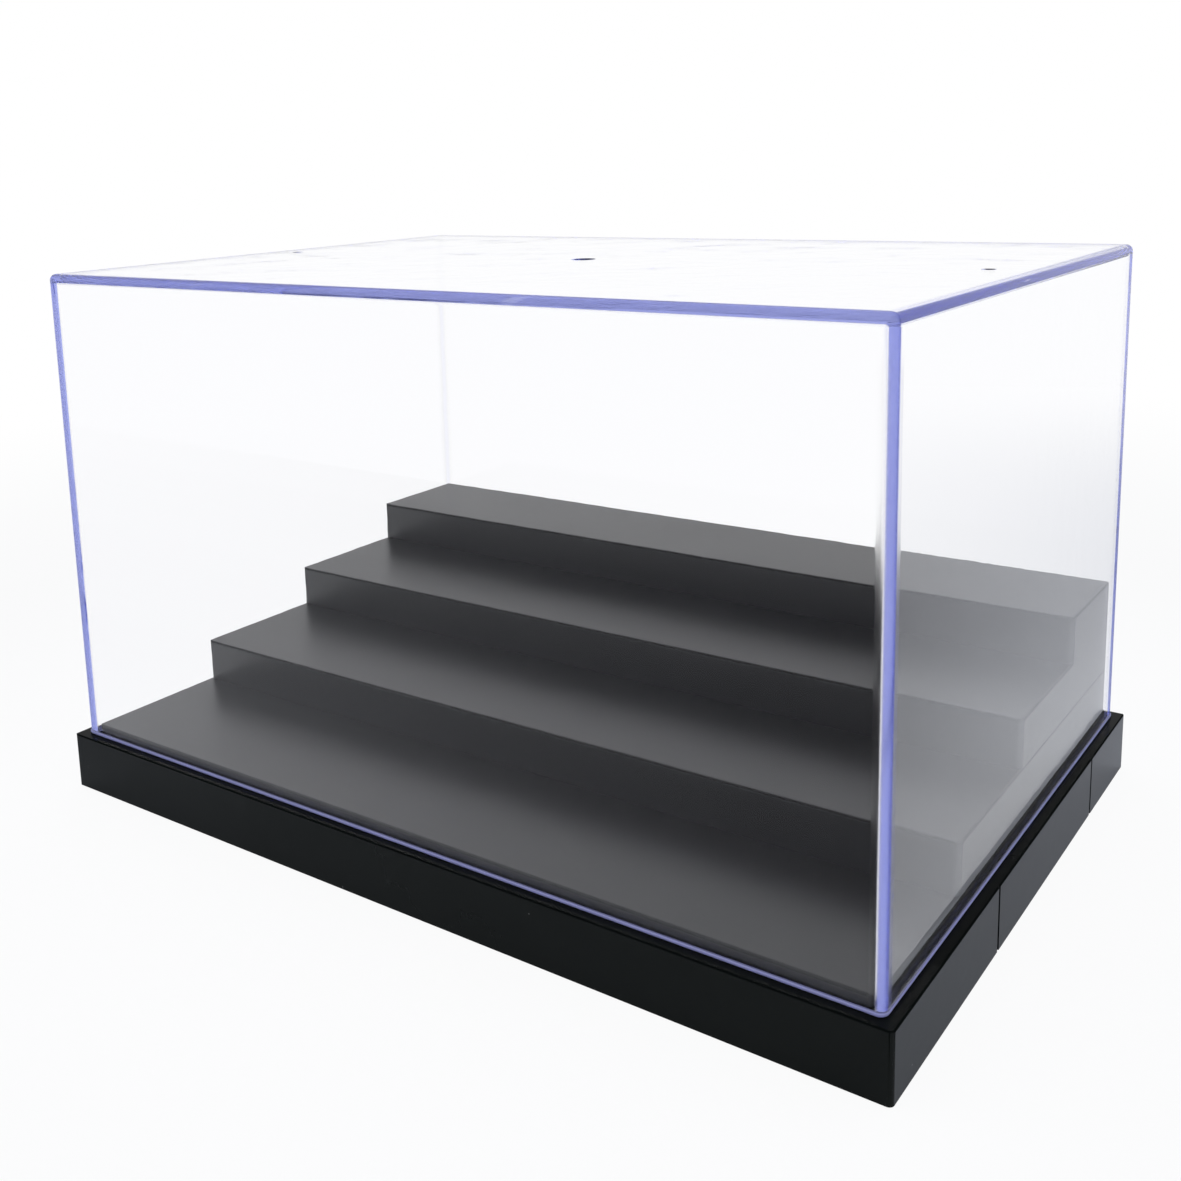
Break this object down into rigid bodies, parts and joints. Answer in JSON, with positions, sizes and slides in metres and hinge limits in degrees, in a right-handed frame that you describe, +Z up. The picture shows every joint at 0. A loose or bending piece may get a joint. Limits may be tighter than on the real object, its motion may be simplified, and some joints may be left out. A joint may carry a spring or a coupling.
{
  "type": "display case",
  "caption": "Rectangular clear box cover that lifts off a low black base with stepped satin risers inside, for showing small collectables free of dust.",
  "frame": {"origin": "on the table, under the middle of the base", "axes": "+X to the right along the front, +Y from the front to the back, +Z up"},
  "size_m": [0.255, 0.178, 0.1536],
  "materials": {
    "gloss_black": "polished black moulding",
    "satin_black": "fine satin texture",
    "clear_acrylic": "clear and polished, violet blue where seen edge on"
  },
  "bodies": {
    "base": {"base": "gloss_black", "deck": "satin_black"},
    "cover": {"clear_cover": "clear_acrylic"},
    "lower_riser": {"lower_riser": "satin_black"},
    "upper_riser": {"upper_riser": "satin_black"}
  },
  "joints": [
    {"name": "cover_lift", "type": "slide", "parent": "base", "child": "cover", "axis": [0, 0, 1], "range_m": [0, 0.06]},
    {"name": "lower_riser_lift", "type": "slide", "parent": "base", "child": "lower_riser", "axis": [0, 0, 1], "range_m": [0, 0.04]},
    {"name": "upper_riser_lift", "type": "slide", "parent": "lower_riser", "child": "upper_riser", "axis": [0, 0, 1], "range_m": [0, 0.04]}
  ]
}
